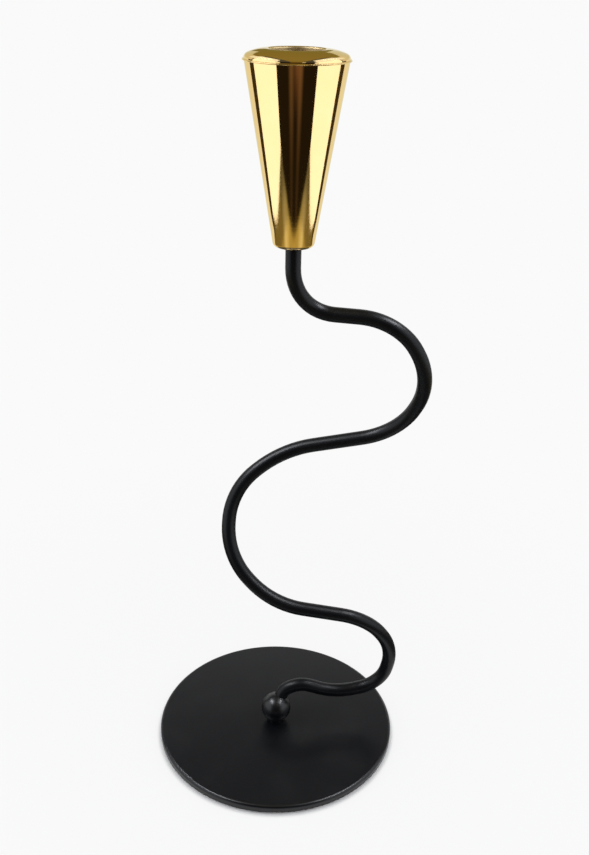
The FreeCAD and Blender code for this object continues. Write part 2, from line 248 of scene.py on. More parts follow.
# %% [markdown]
# ## Turning lines
# The cup, its cap, the screws and the washer are turned on a lathe and polished, which leaves
# very fine rings round their axis. Noise that is read only by the height and by the distance
# from the axis makes rings of which no two are alike, which a regular wave wouldn't. The rings
# tilt the surface up and down but not sideways, so a reflection blurs along the cone and stays
# sharp across it.

# %% Group: turning lines
def make_turning_lines():
    group, inputs, outputs = new_group(
        "turning_lines",
        [("Radius", NUMBER, 0.0), ("Height", NUMBER, 0.0), ("Lines per metre", NUMBER, 4000.0)],
        [("Height", NUMBER)],
    )
    ring = add(group, "ShaderNodeCombineXYZ")
    feed(group, inputs.outputs["Radius"], ring.inputs["X"])
    feed(group, inputs.outputs["Height"], ring.inputs["Z"])
    lines = noise(group, ring.outputs[0], inputs.outputs["Lines per metre"], detail=3.0)
    feed(group, lines, outputs.inputs["Height"])
    return group


turning_lines = make_turning_lines()
print("group:", turning_lines.name)

# %% [markdown]
# ## Dust
# A few grains of dust and lint settle on faces that look up. The mask grows with the upward
# part of the surface's direction, so the underside of the rod stays clean. Dust spread evenly
# over everything would look like a fault in the paint.

# %% Group: dust
FACING_UP = (0.2, 0.95)
GRAIN_EDGES = (0.56, 0.72)


def make_dust():
    group, inputs, outputs = new_group(
        "dust",
        [("Clean", COLOUR, (0, 0, 0, 1)), ("Dusty", COLOUR, (1, 1, 1, 1)),
         ("Amount", NUMBER, 0.1), ("Grain scale", NUMBER, 900.0)],
        [("Colour", COLOUR), ("Mask", NUMBER)],
    )
    place = add(group, "ShaderNodeTexCoord").outputs["Object"]
    facing = add(group, "ShaderNodeSeparateXYZ")
    feed(group, add(group, "ShaderNodeNewGeometry").outputs["Normal"], facing.inputs[0])
    upward = ramp(group, facing.outputs["Z"], *FACING_UP)
    speckle = noise(group, place, inputs.outputs["Grain scale"], detail=3.0)
    settled = compute(group, "MULTIPLY", upward, ramp(group, speckle, *GRAIN_EDGES))
    mask = compute(group, "MULTIPLY", settled, inputs.outputs["Amount"])
    colour = mix_colour(group, mask, inputs.outputs["Clean"], inputs.outputs["Dusty"])
    feed(group, colour, outputs.inputs["Colour"])
    feed(group, mask, outputs.inputs["Mask"])
    return group


dust = make_dust()
print("group:", dust.name)

# %% [markdown]
# ## Colour drift
# No real finish is one even colour. A slow, faint drift between two near tones keeps a wide
# plain face, such as the base, from looking like a flat cut-out.

# %% Group: colour drift
DRIFT_EDGES = (0.3, 0.7)


def make_colour_drift():
    group, inputs, outputs = new_group(
        "colour_drift",
        [("First", COLOUR, (0, 0, 0, 1)), ("Second", COLOUR, (1, 1, 1, 1)),
         ("Drift scale", NUMBER, 30.0)],
        [("Colour", COLOUR)],
    )
    place = add(group, "ShaderNodeTexCoord").outputs["Object"]
    slow = noise(group, place, inputs.outputs["Drift scale"], detail=4.0)
    share = ramp(group, slow, *DRIFT_EDGES)
    colour = mix_colour(group, share, inputs.outputs["First"], inputs.outputs["Second"])
    feed(group, colour, outputs.inputs["Colour"])
    return group


colour_drift = make_colour_drift()
print("group:", colour_drift.name)

# %% [markdown]
# ## How a material is made
# The Principled shader stays in the material itself, and what is the same all over a surface
# is set on its own sockets. Only what changes over the surface comes from the groups.

# %% Helpers: materials
def new_material(name, **constants):
    """A material with one Principled shader, and the values that are the same all over."""
    material = bpy.data.materials.new(name)
    material.use_nodes = True
    shader = material.node_tree.nodes["Principled BSDF"]
    for label, value in constants.items():
        shader.inputs[label.replace("_", " ")].default_value = value
    return material, material.node_tree, shader


def add_bump(tree, shader, height, distance):
    """Let a height over the surface tilt its normals."""
    bump = add(tree, "ShaderNodeBump")
    bump.inputs["Distance"].default_value = distance
    feed(tree, height, bump.inputs["Height"])
    feed(tree, bump.outputs["Normal"], shader.inputs["Normal"])


def dress(node, material):
    """Give a node of the frame its finish."""
    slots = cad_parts[node].data.materials
    slots.clear()
    slots.append(material)
    print(node, "wears", material.name)


print("nodes to dress:", len(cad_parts))

# %% [markdown]
# ## Brass
# The cup and its cap are polished brass. A metal's colour is the colour of its reflections, so
# the base colour is a deep gold, and seen along its surface the metal pales, which its edge
# colour gives. Only the outside is polished: the inside of the cone and the bored candle hole
# keep the dull brown skin that the tool and the candle leave.

# %% Brass: colours and sizes
BRASS = (0.93, 0.68, 0.325, 1)
BRASS_DEEP = (0.91, 0.65, 0.295, 1)
BRASS_EDGE = (0.84, 0.84, 0.66, 1)
BRASS_DULL = (0.42, 0.32, 0.17, 1)
BORED_ROUGHNESS = 0.42
CUP_FOOT_RADIUS = mm(8.85)
HALF_WALL = mm(0.5)
CANDLE_HOLE_RADIUS = mm(11.0)
POLISHED_LIP = mm(0.35)

cup_rim_radius = (cup_high.x - cup_low.x) / 2
cup_height = cup_high.z - cup_low.z
print("cup rim radius", round(cup_rim_radius, 5), "height", round(cup_height, 5))

# %% [markdown]
# ## Where the brass is bored
# The dull skin needs a mask. It could be a second material on the inner faces, but the packed
# meshes stay as they are. The distance from the axis tells the two walls apart as well: a line
# halfway through the cone's wall, which widens with the height, and the hole's own radius.

# %% Brass: masks for the bored walls
def inside_cone(tree, place):
    """1 on the inner wall of the cone and 0 on its outside."""
    widening = (cup_rim_radius - CUP_FOOT_RADIUS) / cup_height
    line_foot = CUP_FOOT_RADIUS - HALF_WALL - widening * cup_low.z
    line = compute(tree, "MULTIPLY_ADD", place.outputs["Height"], widening, line_foot)
    return compute(tree, "LESS_THAN", place.outputs["Radius"], line)


def inside_hole(tree, place):
    """1 on the wall of the candle hole, and fading to 0 over its rounded lip."""
    edge = CANDLE_HOLE_RADIUS + POLISHED_LIP
    return ramp(tree, place.outputs["Radius"], CANDLE_HOLE_RADIUS, edge, 1.0, 0.0)


print("candle hole is dull inside a radius of", CANDLE_HOLE_RADIUS)

# %% [markdown]
# ## The two brass pieces
# Both get the same metal with their own amounts. The cone is buffed longer than the cap, so it
# mirrors more sharply. On a bored wall the turning lines follow the height alone: there the
# radius is the same all round, and the flat facets of the mesh would show as upright streaks.

# %% Material: brass
def make_brass(name, lines_height, smooth, dull, bored):
    material, tree, shader = new_material(name, Metallic=1.0, Specular_Tint=BRASS_EDGE)
    drift = place_group(tree, colour_drift, first=BRASS, second=BRASS_DEEP, drift_scale=45.0)
    marks = place_group(tree, handling_marks, smooth=smooth, dull=dull, patch_scale=70.0)
    place = place_group(tree, turned_place, axis_x=cup_axis)
    mask = bored(tree, place)
    outside = compute(tree, "SUBTRACT", 1.0, mask)
    lines = place_group(tree, turning_lines, height=place.outputs["Height"],
                        radius=compute(tree, "MULTIPLY", place.outputs["Radius"], outside),
                        lines_per_metre=5200.0)
    rough = compute(tree, "MAXIMUM", marks.outputs["Roughness"],
                    compute(tree, "MULTIPLY", mask, BORED_ROUGHNESS))
    colour = mix_colour(tree, mask, drift.outputs["Colour"], BRASS_DULL)
    feed(tree, colour, shader.inputs["Base Color"])
    feed(tree, rough, shader.inputs["Roughness"])
    add_bump(tree, shader, lines.outputs["Height"], lines_height)
    return material


dress("candle_cup", make_brass("brass_cup", lines_height=mm(0.0030),
                               smooth=0.045, dull=0.085, bored=inside_cone))
dress("cup_cap", make_brass("brass_cap", lines_height=mm(0.0016),
                            smooth=0.07, dull=0.12, bored=inside_hole))

# %% [markdown]
# ## Black paint
# The rod, the ball and the base are steel with a satin black powder coat. Melted powder sets
# in a very fine pebbled skin, which breaks up its highlights. That skin is bump, because its
# waves are a few thousandths of a millimetre high. One function makes the paint for all three,
# with a gloss for each: the rod is the dullest, and the flat base has the smoothest skin.

# %% Material: black paint
BLACK = (0.0014, 0.0019, 0.0034, 1)
BLACK_WORN = (0.0024, 0.0029, 0.0043, 1)
DUST_GREY = (0.10, 0.098, 0.095, 1)
DUST_AMOUNT = 0.05
SKIN_SCALE = 1700.0
SKIN_HEIGHT = mm(0.006)


def make_black_paint(name, gloss, smooth, dull):
    material, tree, shader = new_material(name, Metallic=0.0, IOR=1.5, Specular_IOR_Level=gloss)
    drift = place_group(tree, colour_drift, first=BLACK, second=BLACK_WORN, drift_scale=55.0)
    dusty = place_group(tree, dust, clean=drift.outputs["Colour"], dusty=DUST_GREY,
                        amount=DUST_AMOUNT, grain_scale=1500.0)
    marks = place_group(tree, handling_marks, smooth=smooth, dull=dull, patch_scale=40.0)
    place = add(tree, "ShaderNodeTexCoord").outputs["Object"]
    feed(tree, dusty.outputs["Colour"], shader.inputs["Base Color"])
    feed(tree, marks.outputs["Roughness"], shader.inputs["Roughness"])
    add_bump(tree, shader, noise(tree, place, SKIN_SCALE, detail=3.0), SKIN_HEIGHT)
    return material


dress("stem", make_black_paint("black_paint_rod", gloss=0.21, smooth=0.36, dull=0.43))
dress("ball_joint", make_black_paint("black_paint_ball", gloss=0.42, smooth=0.32, dull=0.36))
dress("base_plate", make_black_paint("black_paint_plate", gloss=0.38, smooth=0.29, dull=0.37))

# %% [markdown]
# ## Plated steel
# The screws and the washer are small turned steel pieces with a bright plating. They show only
# when the cap is off or the felt is peeled away, but they are finished all the same. Each is
# turned round its own axis, so the ones in the cup and the one in the base differ in that.

# %% Material: plated steel
STEEL = (0.56, 0.57, 0.58, 1)
STEEL_GREY = (0.42, 0.43, 0.45, 1)
STEEL_LINES = mm(0.004)


def make_steel(name, axis_x):
    material, tree, shader = new_material(name, Metallic=1.0)
    drift = place_group(tree, colour_drift, first=STEEL, second=STEEL_GREY, drift_scale=260.0)
    marks = place_group(tree, handling_marks, smooth=0.24, dull=0.36, patch_scale=240.0)
    place = place_group(tree, turned_place, axis_x=axis_x)
    lines = place_group(tree, turning_lines, radius=place.outputs["Radius"],
                        height=place.outputs["Height"], lines_per_metre=7000.0)
    feed(tree, drift.outputs["Colour"], shader.inputs["Base Color"])
    feed(tree, marks.outputs["Roughness"], shader.inputs["Roughness"])
    add_bump(tree, shader, lines.outputs["Height"], STEEL_LINES)
    return material


cup_steel = make_steel("steel_cup", cup_axis)
for node in ("cup_screw", "cup_washer"):
    dress(node, cup_steel)
dress("base_screw", make_steel("steel_base", 0.0))

# %% [markdown]
# ## Felt
# A felt disc under the base keeps it from scratching a table. Felt is pressed wool: it has no
# weave, and its face is a tangle of short fibres. The fibres could be grown as hair, but they
# are too short to be told apart. Fine noise in the bump gives the tangle, and a little sheen
# gives the pale bloom that fibres have when they are seen along the face.

# %% Material: felt
FELT = (0.022, 0.022, 0.024, 1)
FELT_PALE = (0.048, 0.048, 0.050, 1)
FIBRE_SCALE = 3200.0
FIBRE_HEIGHT = mm(0.08)


def make_felt():
    material, tree, shader = new_material("felt", Roughness=0.95, Sheen_Weight=0.35,
                                          Sheen_Roughness=0.5, Specular_IOR_Level=0.2)
    drift = place_group(tree, colour_drift, first=FELT, second=FELT_PALE, drift_scale=2400.0)
    place = add(tree, "ShaderNodeTexCoord").outputs["Object"]
    feed(tree, drift.outputs["Colour"], shader.inputs["Base Color"])
    add_bump(tree, shader, noise(tree, place, FIBRE_SCALE, detail=5.0), FIBRE_HEIGHT)
    return material


felt = make_felt()
print("material:", felt.name)

# %% [markdown]
# ## The felt pad's cut edge
# Felt is cut with a blade, so its edge wanders a little and its corners roll over. The pad is
# planned as a stack of rings, from the middle of its lower face, round its edge, to the middle
# of its upper face. A cylinder would be quicker, but its edge would be a perfect circle with a
# sharp corner, and cut felt has neither.

# %% Felt pad: its edge and its rings
EDGE_WANDER = mm(0.12)
EDGE_ROLL_SHARE = 0.35
EDGE_CORNER_SHARE = 0.3
RING_SHARES = (0.15, 0.35, 0.55, 0.75, 0.9)
WANDER_WAVES = (7, 19, 41)


def felt_edge(angle):
    """How far the cut edge falls short of a true circle, from three unequal waves."""
    waves = [math.sin(count * angle + count) / count for count in WANDER_WAVES]
    return EDGE_WANDER * (1 - sum(waves) * WANDER_WAVES[0] / len(WANDER_WAVES)) / 2


def felt_rings():
    """Each ring as its share of the radius, its inset from the cut edge, and its height."""
    roll = pad_thickness * EDGE_ROLL_SHARE
    corner = roll * EDGE_CORNER_SHARE
    low, high = pad_low.z, pad_high.z
    flat_below = [(share, 0.0, low) for share in RING_SHARES]
    flat_above = [(share, 0.0, high) for share in reversed(RING_SHARES)]
    edge = [(1.0, roll, low), (1.0, corner, low + corner), (1.0, 0.0, low + roll),
            (1.0, 0.0, high - roll), (1.0, corner, high - corner), (1.0, roll, high)]
    return flat_below + edge + flat_above


print("rings in the felt pad:", len(felt_rings()))

# %% [markdown]
# ## The felt pad
# The rings are joined by a band of four-sided faces, and the smallest ring on each side is
# closed by one face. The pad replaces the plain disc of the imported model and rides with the
# stand. It lies flat against the base, and what it was cut to is its own width.

# %% Piece: felt pad
EDGE_STEPS = 240


def felt_points(rings):
    points = []
    for share, inset, height in rings:
        for step in range(EDGE_STEPS):
            angle = math.tau * step / EDGE_STEPS
            radius = share * (pad_radius - felt_edge(angle)) - inset
            points.append((radius * math.cos(angle), radius * math.sin(angle), height))
    return points


def felt_faces(ring_count):
    faces = []
    for ring in range(ring_count - 1):
        here, above = ring * EDGE_STEPS, (ring + 1) * EDGE_STEPS
        for step in range(EDGE_STEPS):
            after = (step + 1) % EDGE_STEPS
            faces.append((here + step, here + after, above + after, above + step))
    last = (ring_count - 1) * EDGE_STEPS
    faces.append(tuple(reversed(range(EDGE_STEPS))))
    faces.append(tuple(range(last, last + EDGE_STEPS)))
    return faces


def make_felt_pad():
    rings = felt_rings()
    mesh = bpy.data.meshes.new("felt_pad")
    mesh.from_pydata(felt_points(rings), [], felt_faces(len(rings)))
    mesh.polygons.foreach_set("use_smooth", [True] * len(mesh.polygons))
    mesh.materials.append(felt)
    pad = bpy.data.objects.new("felt_pad", mesh)
    bpy.context.scene.collection.objects.link(pad)
    return pad


felt_pad = make_felt_pad()
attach(felt_pad, "stand")
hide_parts("base_pad")
print("felt pad:", len(felt_pad.data.vertices), "points")

# %% [markdown]
# ## Which way the camera looks
# The photo was taken from just above the cup, so close that the base is seen from well above
# and the cup from the side. The camera's place, tilt and slight roll were worked out from the
# outlines of the base and the cup. Three directions follow from them: ahead, right and up.

# %% Camera: its place and directions
CAMERA_PLACE = Vector((0.0, -0.41352, 0.38103))
CAMERA_DOWN = 0.4492
CAMERA_YAW = 0.0164
CAMERA_ROLL = 0.0214

forward = Vector((math.sin(CAMERA_YAW) * math.cos(CAMERA_DOWN),
                  math.cos(CAMERA_YAW) * math.cos(CAMERA_DOWN),
                  -math.sin(CAMERA_DOWN)))
level_right = Vector((math.cos(CAMERA_YAW), -math.sin(CAMERA_YAW), 0))
level_up = level_right.cross(forward)
right = math.cos(CAMERA_ROLL) * level_right + math.sin(CAMERA_ROLL) * level_up
up = math.cos(CAMERA_ROLL) * level_up - math.sin(CAMERA_ROLL) * level_right
print("camera looks along", [round(value, 3) for value in forward])

# %% [markdown]
# ## The camera
# The focal length was measured in the photo's pixels. The taller side of the picture gets the
# whole sensor, so the lens in millimetres is the sensor's size times that length over the
# picture's height.

# %% Camera
SENSOR = 36.0
PHOTO_HEIGHT = 855
FOCAL_PIXELS = 978.23
NEAREST_SEEN = mm(10)

camera = bpy.data.objects.new("photo_camera", bpy.data.cameras.new("photo_camera"))
bpy.context.scene.collection.objects.link(camera)
turned = Matrix((right, up, -forward)).transposed().to_4x4()
camera.matrix_world = Matrix.Translation(CAMERA_PLACE) @ turned
camera.data.sensor_width = SENSOR
camera.data.lens = SENSOR * FOCAL_PIXELS / PHOTO_HEIGHT
camera.data.clip_start = NEAREST_SEEN
bpy.context.scene.camera = camera
print("lens:", round(camera.data.lens, 2))

# %% [markdown]
# ## Studio
# A pale table and white surroundings, as in a product photo. Polished brass shows whatever is
# round it, so a studio also has things that are never in the picture: a lit panel at each side,
# which makes the two bright bands down the cone, and darker cards, which give the bands their
# edges. A picture of a room, wrapped round the scene, would show in the brass too, but its
# bands couldn't be moved one by one. The cards are hidden from the camera and from soft light,
# so they show only as reflections.

# %% Studio: cards that only reflections see
def show_only_in_reflections(thing):
    thing.visible_camera = False
    thing.visible_diffuse = False
    thing.visible_shadow = False
    thing.visible_transmission = False


def card_material(name, paint):
    """A card that glows in one colour, or in the colours that a function makes."""
    material = bpy.data.materials.new(name)
    material.use_nodes = True
    tree = material.node_tree
    tree.nodes.clear()
    glow = add(tree, "ShaderNodeEmission")
    feed(tree, paint(tree) if callable(paint) else (*paint, 1), glow.inputs["Color"])
    result = add(tree, "ShaderNodeOutputMaterial")
    feed(tree, glow.outputs[0], result.inputs["Surface"])
    return material


def make_card(name, corners, paint, faces=None):
    """A card that only reflections see: one flat face, unless its faces are given."""
    mesh = bpy.data.meshes.new(name)
    mesh.from_pydata(corners, [], faces or [tuple(range(len(corners)))])
    mesh.materials.append(card_material(name, paint))
    card = bpy.data.objects.new(name, mesh)
    bpy.context.scene.collection.objects.link(card)
    show_only_in_reflections(card)
    print("card:", name)


print("cards can be placed in the studio")

# %% [markdown]
# ## The floor as the brass sees it
# The cone's wall leans outwards, so from the front it mirrors the floor and the feet of the side
# panels. A place on the floor is given by its bearing round the cup, in degrees from the front,
# and its distance, because a card that follows a bearing shows on the cone as a straight band.
# The table ends in a straight edge in front, past which the floor is dark: that edge is the dark
# point near the foot of the cone.

# %% Studio: bearings and sectors
TABLE_FRONT = 0.44
SECTOR_STEPS = 50
LAYER = mm(0.5)


def spot(bearing, distance):
    turn = math.radians(bearing)
    return (cup_axis + distance * math.sin(turn), -distance * math.cos(turn), LAYER)


def table_end(bearing, far):
    """How far the table reaches at a bearing: at most far, and less where its front edge is."""
    ahead = math.cos(math.radians(bearing))
    return min(far, TABLE_FRONT / ahead) if ahead > 0 else far


def make_sector(name, first, last, near, far, paint):
    """A level card on the table between two bearings and two distances, in narrow strips."""
    corners, faces = [], []
    for step in range(SECTOR_STEPS + 1):
        bearing = first + (last - first) * step / SECTOR_STEPS
        corners += [spot(bearing, near), spot(bearing, table_end(bearing, far))]
        if step:
            here = 2 * step
            faces.append((here - 2, here - 1, here + 1, here))
    make_card(name, corners, paint, faces)


print("table ends", TABLE_FRONT, "in front of the cup")

# %% [markdown]
# ## Paint that follows the bearing
# The colours on the floor change with the bearing, and some of them with the distance too. Both
# are worked out once for the point that is shaded, in the same way as for the cards' corners.

# %% Studio: the bearing of a shaded point
def round_the_cup(tree):
    """The bearing, the distance and the way along Y of the point that is shaded."""
    parts = add(tree, "ShaderNodeSeparateXYZ")
    feed(tree, add(tree, "ShaderNodeTexCoord").outputs["Object"], parts.inputs[0])
    aside = compute(tree, "SUBTRACT", parts.outputs["X"], cup_axis)
    ahead = compute(tree, "MULTIPLY", parts.outputs["Y"], -1.0)
    ahead_squared = compute(tree, "MULTIPLY", ahead, ahead)
    distance = compute(tree, "SQRT", compute(tree, "MULTIPLY_ADD", aside, aside, ahead_squared))
    return compute(tree, "ARCTAN2", aside, ahead), distance, parts.outputs["Y"]


print("bearings are counted round x =", round(cup_axis, 5))

# %% [markdown]
# ## The table as the brass sees it
# The lower end of the cone mirrors the table: gold in front, a bright strip on either side of it,
# and brown at the sides. The colours are marks on one ramp, by bearing, which keeps the change
# from one to the next soft. Close to the base a dark grey card stands in for the floor there in
# shade: it is painted shade, which shows only in the reflections of the ball, the rod and the
# base's edge.

# %% Studio: colours of the table
SHADE_CARD_NEAR = 0.10
SHADE_CARD_RADIUS = 0.30
# Painted shade: the colour that the shaded floor round the base shows in reflections.
SHADED_FLOOR_REFLECTION = (0.10, 0.095, 0.085)
TABLE_FAR = 0.62
TABLE_SIDE = 125
HALF_TURN = 180
FIRST_MARKS = 2
TABLE_COLOURS = (
    (0, (0.50, 0.385, 0.115)), (20, (0.47, 0.375, 0.125)), (31, (0.66, 0.56, 0.25)),
    (42, (0.77, 0.68, 0.40)), (50, (0.62, 0.54, 0.265)), (57, (0.42, 0.335, 0.115)),
    (112, (0.38, 0.30, 0.10)), (125, (0.22, 0.17, 0.06)))


def table_by_bearing(tree, off_front):
    """The table's colour at an angle off the front, in radians."""
    steps = add(tree, "ShaderNodeValToRGB")
    feed(tree, compute(tree, "DIVIDE", off_front, math.pi), steps.inputs[0])
    marks = steps.color_ramp.elements
    for number, (degrees, colour) in enumerate(TABLE_COLOURS):
        share = degrees / HALF_TURN
        mark = marks[number] if number < FIRST_MARKS else marks.new(share)
        mark.position = share
        mark.color = (*colour, 1)
    return steps.outputs["Color"]


print("colours on the table:", len(TABLE_COLOURS))

# %% [markdown]
# ## Where the table darkens
# A real table gets less light towards its edges. Three soft rises darken it: at a middle
# distance, farther out in front, and just before its front edge. They are multiplied, so each
# can be moved without touching the others.

# %% Studio: the table and the mat
FADE_STARTS = 0.445
FADE_FULL = 0.475
FADED = 0.5
FAR_FADE_STARTS = 0.485
FAR_FADE_FULL = 0.56
FAR_FADED = 0.4
SIDE_STARTS = 50
SIDE_FULL = 62
EDGE_STARTS = -0.415
EDGE_DARK = 0.12


def table_paint(tree):
    """Gold in front, bright strips beside it, brown at the sides, darker at the table's edges."""
    bearing, distance, along = round_the_cup(tree)
    off_front = compute(tree, "ABSOLUTE", bearing)
    faded = ramp(tree, distance, FADE_STARTS, FADE_FULL, 1.0, FADED)
    farther = ramp(tree, distance, FAR_FADE_STARTS, FAR_FADE_FULL, 1.0, FAR_FADED)
    sides = ramp(tree, off_front, math.radians(SIDE_STARTS), math.radians(SIDE_FULL))
    edge = ramp(tree, along, -TABLE_FRONT, EDGE_STARTS, EDGE_DARK, 1.0)
    beyond = compute(tree, "MAXIMUM", farther, sides)
    light = compute(tree, "MULTIPLY", compute(tree, "MULTIPLY", faded, beyond), edge)
    dimmed = add(tree, "ShaderNodeVectorMath", operation="SCALE")
    feed(tree, table_by_bearing(tree, off_front), dimmed.inputs[0])
    feed(tree, light, dimmed.inputs["Scale"])
    return dimmed.outputs[0]


# Painted shade: a dark card round the base, seen only in reflections, for the shaded floor there.
make_sector("shaded_floor_card", -HALF_TURN, HALF_TURN, SHADE_CARD_NEAR, SHADE_CARD_RADIUS, SHADED_FLOOR_REFLECTION)
make_sector("table_seen", -TABLE_SIDE, TABLE_SIDE, SHADE_CARD_RADIUS, TABLE_FAR, table_paint)

# %% [markdown]
# ## The dark room in front
# Past the table's front edge the room is nearly black, and it makes the dark band down the
# middle of the cone. The band isn't plain: two faint warm streaks and a reddish patch at its
# top show a floor with light on it. They are laid on the floor as soft streaks along a bearing,
# which show on the cone as upright streaks.

# %% Studio: the dark floor, its streaks and the far wall
DARK_ROOM = (0.0150, 0.0100, 0.0055)
STREAK_WARM = (0.20, 0.115, 0.055)
STREAK_NEAR = -0.50
STREAK_FAR = -0.86
STREAK_FAINT = 0.14
STREAK_FULL = 0.8
STREAKS = ((-13, 9), (8, 9))
PATCH_RED = (0.21, 0.10, 0.05)
PATCH_NEAR = -0.64
PATCH = (1.5, 14)
ROOM_END = -1.7
ROOM_SIDE = 1.3
ROOM_TOP = 0.95


def streak(tree, bearing, middle, half):
    """1 along a bearing, in degrees, and fading to 0 at half a streak's width from it."""
    off_middle = compute(tree, "SUBTRACT", bearing, math.radians(middle))
    away = compute(tree, "ABSOLUTE", off_middle)
    return ramp(tree, away, 0.0, math.radians(half), 1.0, 0.0)


def streaked_floor(tree):
    """Soft streaks that grow brighter away from the cup, and a reddish patch at their far end."""
    bearing, _, along = round_the_cup(tree)
    streaks = 0.0
    for middle, half in STREAKS:
        streaks = compute(tree, "ADD", streak(tree, bearing, middle, half), streaks)
    growing = ramp(tree, along, STREAK_NEAR, STREAK_FAR, STREAK_FAINT, STREAK_FULL)
    streaked = mix_colour(tree, compute(tree, "MULTIPLY", streaks, growing),
                          (*DARK_ROOM, 1), (*STREAK_WARM, 1))
    patch = compute(tree, "MULTIPLY", streak(tree, bearing, *PATCH),
                    ramp(tree, along, PATCH_NEAR, STREAK_FAR))
    return mix_colour(tree, patch, streaked, (*PATCH_RED, 1))


make_card("front_floor", [
    (-ROOM_SIDE, ROOM_END, 0), (ROOM_SIDE, ROOM_END, 0),
    (ROOM_SIDE, -TABLE_FRONT, LAYER), (-ROOM_SIDE, -TABLE_FRONT, LAYER)], streaked_floor)
make_card("front_wall", [
    (-ROOM_SIDE, ROOM_END, 0), (ROOM_SIDE, ROOM_END, 0),
    (ROOM_SIDE, ROOM_END, ROOM_TOP), (-ROOM_SIDE, ROOM_END, ROOM_TOP)], DARK_ROOM)

# %% [markdown]
# ## The ceiling
# The base is a level black face, and what it shows is the ceiling. A dim one keeps it black.
# It stops at the back, where the white surroundings begin, so that the far side of the base is
# a little lighter than the near side, as a satin face is when it is seen more along its surface.

# %% Studio: ceiling
CEILING_END = 1.20
CEILING = (0.074, 0.073, 0.071)


def make_level(name, side, near, far, height, paint):
    """A level card, as wide to the left as to the right."""
    make_card(name, [(-side, near, height), (side, near, height),
                     (side, far, height), (-side, far, height)], paint)


make_level("ceiling", ROOM_SIDE, ROOM_END, CEILING_END, ROOM_TOP, CEILING)

# %% [markdown]
# ## The canopy over the cap
# The cap's dome looks up, and without anything over it it would mirror white and vanish against
# the background. A small warm canopy gives it its brown gold: one card overhead, one behind,
# which is narrow below and wide above so that the dome's shoulders stay light, and a browner one
# in front. A pale card close behind the back one lights these shoulders, and a small bright spot
# in the front one makes the glint on the cap's edge.

# %% Studio: canopy over the cap
CANOPY = (0.26, 0.208, 0.063)
CANOPY_BROWN = (0.13, 0.088, 0.021)
CANOPY_GLOW = (0.76, 0.74, 0.66)
SPOT_BRIGHT = (0.95, 0.94, 0.80)
CANOPY_SIDE = 0.125
CANOPY_BACK = 0.15
CANOPY_FRONT = -0.50
CANOPY_FOOT = 0.366
CANOPY_TOP = 0.60
CANOPY_NECK = 0.030
CANOPY_WIDE = 0.25
NECK_TOP = 0.40
GLOW_SIDE = 0.40
GLOW_BACK = 0.16
BROWN_FOOT = 0.41
SPOT_LEFT = 0.095
SPOT_RIGHT = 0.165
SPOT_FOOT = 0.475
SPOT_TOP = 0.53
SPOT_AHEAD = mm(5)


def make_facing(name, left, right, along, foot, top, paint):
    """An upright card that faces the front or the back."""
    make_card(name, [(left, along, foot), (right, along, foot),
                     (right, along, top), (left, along, top)], paint)


make_card("canopy_back", [
    (-CANOPY_NECK, CANOPY_BACK, CANOPY_FOOT), (CANOPY_NECK, CANOPY_BACK, CANOPY_FOOT),
    (CANOPY_NECK, CANOPY_BACK, NECK_TOP), (CANOPY_WIDE, CANOPY_BACK, CANOPY_TOP),
    (-CANOPY_WIDE, CANOPY_BACK, CANOPY_TOP), (-CANOPY_NECK, CANOPY_BACK, NECK_TOP)], CANOPY)
make_level("canopy_top", CANOPY_SIDE, CANOPY_BACK, CANOPY_FRONT, CANOPY_TOP, CANOPY)
make_facing("canopy_glow", -GLOW_SIDE, GLOW_SIDE, GLOW_BACK, CANOPY_FOOT, CANOPY_TOP,
            CANOPY_GLOW)
make_facing("canopy_front", -CANOPY_SIDE, CANOPY_SIDE, CANOPY_FRONT, BROWN_FOOT, CANOPY_TOP,
            CANOPY_BROWN)
make_facing("front_spot", SPOT_LEFT, SPOT_RIGHT, CANOPY_FRONT + SPOT_AHEAD, SPOT_FOOT, SPOT_TOP,
            SPOT_BRIGHT)

# %% [markdown]
# ## Side panels
# The two side panels are plain area lamps, turned in a little towards the cup. They light the
# object and make the bright bands. Glowing cards could do both, but a lamp's light has less
# grain in it. Their power is worked out from the brightness that they should have and from
# their size, because a lamp's power says nothing about how bright its face looks in a mirror.

# %% Light: side panels
PANEL_FRONT = Vector((0.41, -0.395, 0))
PANEL_BACK = Vector((0.54, 0.18, 0))
PANEL_FOOT = 0.028
PANEL_TOP = 0.62
PANEL_BRIGHTNESS = 1.38
PANEL_COLOUR = (1.0, 1.03, 1.09)
SIDES = (("left", -1), ("right", 1))


def mirrored(place, side):
    return Vector((place.x * side, place.y, place.z))


def make_panel(name, side):
    front, back = mirrored(PANEL_FRONT, side), mirrored(PANEL_BACK, side)
    width, height = (back - front).length, PANEL_TOP - PANEL_FOOT
    lamp = bpy.data.lights.new(name, "AREA")
    lamp.shape = "RECTANGLE"
    lamp.size = width
    lamp.size_y = height
    lamp.color = PANEL_COLOUR
    lamp.energy = PANEL_BRIGHTNESS * math.pi * width * height
    along = (back - front).normalized() * side
    upward = Vector((0, 0, 1))
    turned_in = Matrix((along, upward, along.cross(upward))).transposed().to_4x4()
    middle = (front + back) / 2 + upward * (PANEL_TOP + PANEL_FOOT) / 2
    panel = bpy.data.objects.new(name, lamp)
    panel.matrix_world = Matrix.Translation(middle) @ turned_in
    panel.visible_camera = False
    bpy.context.scene.collection.objects.link(panel)
    print("lamp:", name, "power", round(lamp.energy, 2))


for name, side in SIDES:
    make_panel(f"panel_{name}", side)

# %% [markdown]
# ## Covers and dark gaps
# A lamp's face lets a mirrored ray pass, so it would show what is behind it as well. A nearly
# black cover just behind each panel stops that, and the bands keep the colour of the lamp.
# Beside each panel is a narrow dark gap, which draws the thin dark line next to the band.

